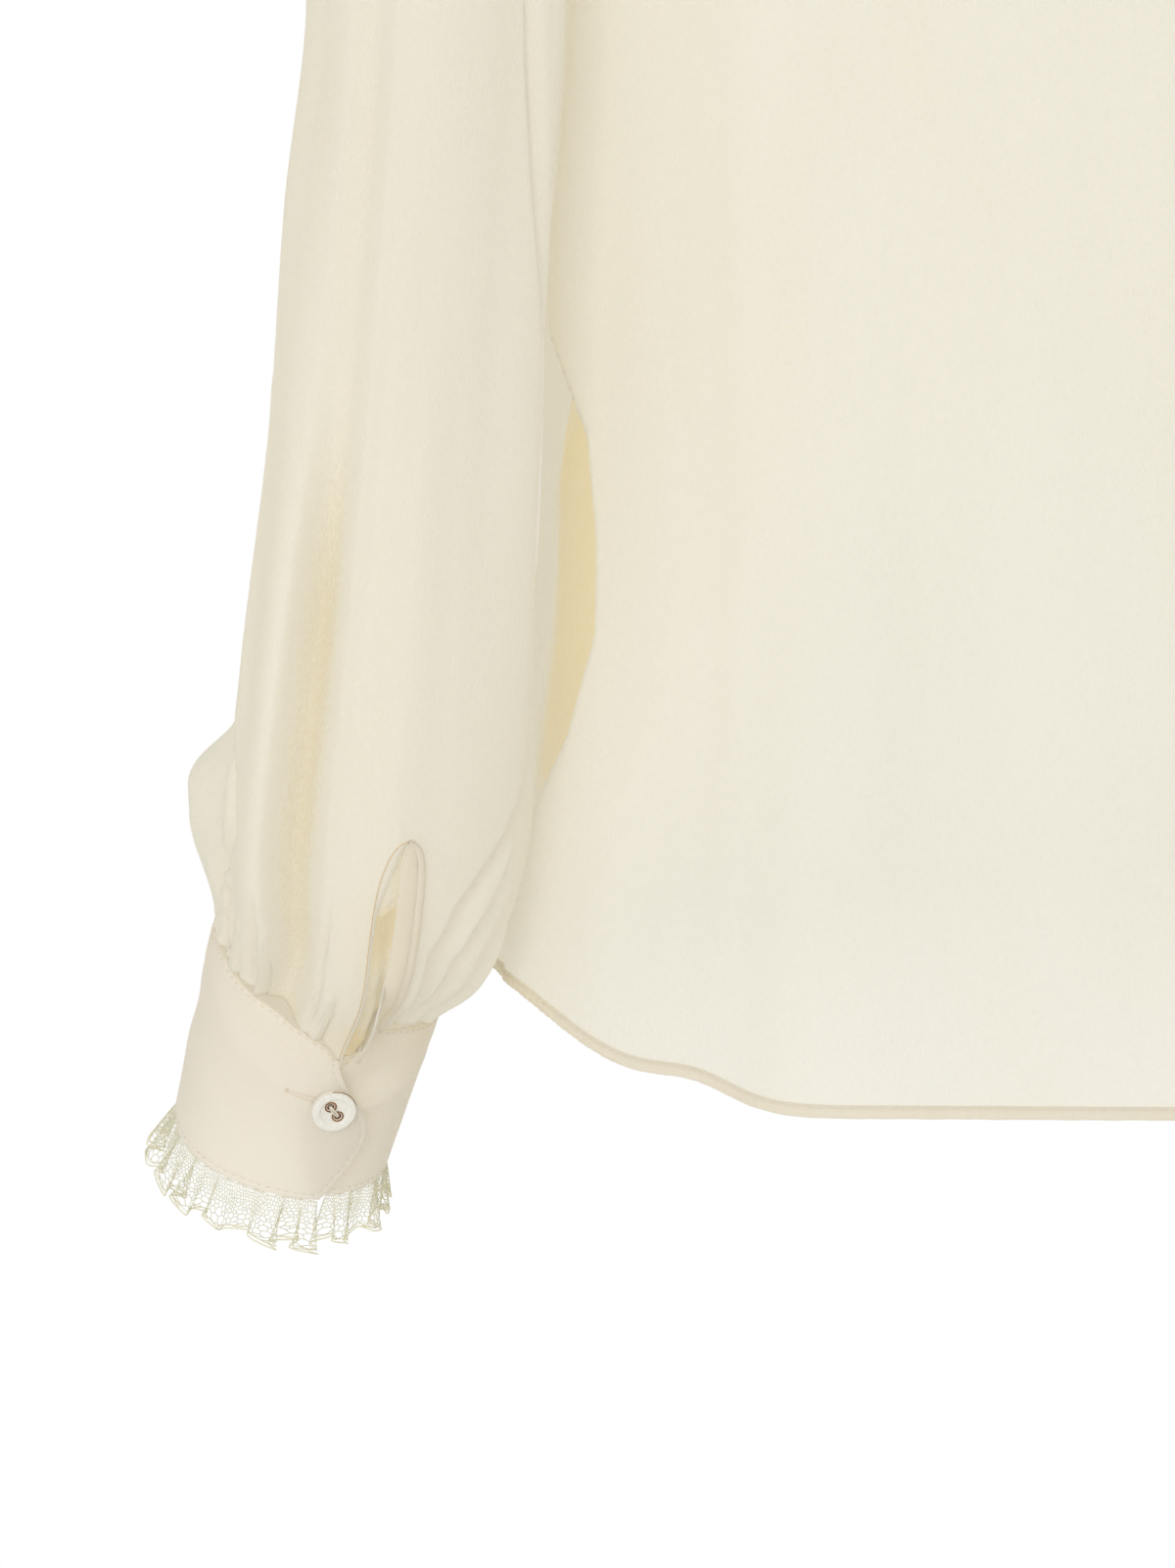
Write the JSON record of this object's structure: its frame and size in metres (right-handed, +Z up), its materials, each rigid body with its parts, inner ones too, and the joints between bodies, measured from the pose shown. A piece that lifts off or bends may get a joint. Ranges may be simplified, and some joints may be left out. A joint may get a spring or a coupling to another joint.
{
  "type": "blouse",
  "caption": "Loose pull-on blouse with full sleeves gathered into buttoned cuffs edged with a lace ruffle, and a longer curved back hem.",
  "frame": {"origin": "on the line where the blouse hangs on the wearer's shoulders, midway between the two points where neck and shoulder seams meet", "axes": "+Z up; the front faces -Y and the back faces +Y; +X is the wearer's left"},
  "size_m": [0.674, 0.2298, 0.6798],
  "materials": {
    "crepe": "matt cream viscose crepe with a fine pebbled face, slightly see-through",
    "cuff_crepe": "matt cream viscose crepe, two layers pressed flat",
    "lace": "fine ivory cotton net lace",
    "button": "softly shining off-white shirt button"
  },
  "bodies": {
    "root": {"back_panel": "crepe", "front_panel": "crepe", "neck_band": "crepe", "left_sleeve": "crepe", "right_sleeve": "crepe", "left_slit_binding": "crepe", "right_slit_binding": "crepe", "left_cuff": "cuff_crepe", "right_cuff": "cuff_crepe", "left_cuff_lace": "lace", "right_cuff_lace": "lace", "left_cuff_button": "button", "right_cuff_button": "button"}
  },
  "joints": []
}
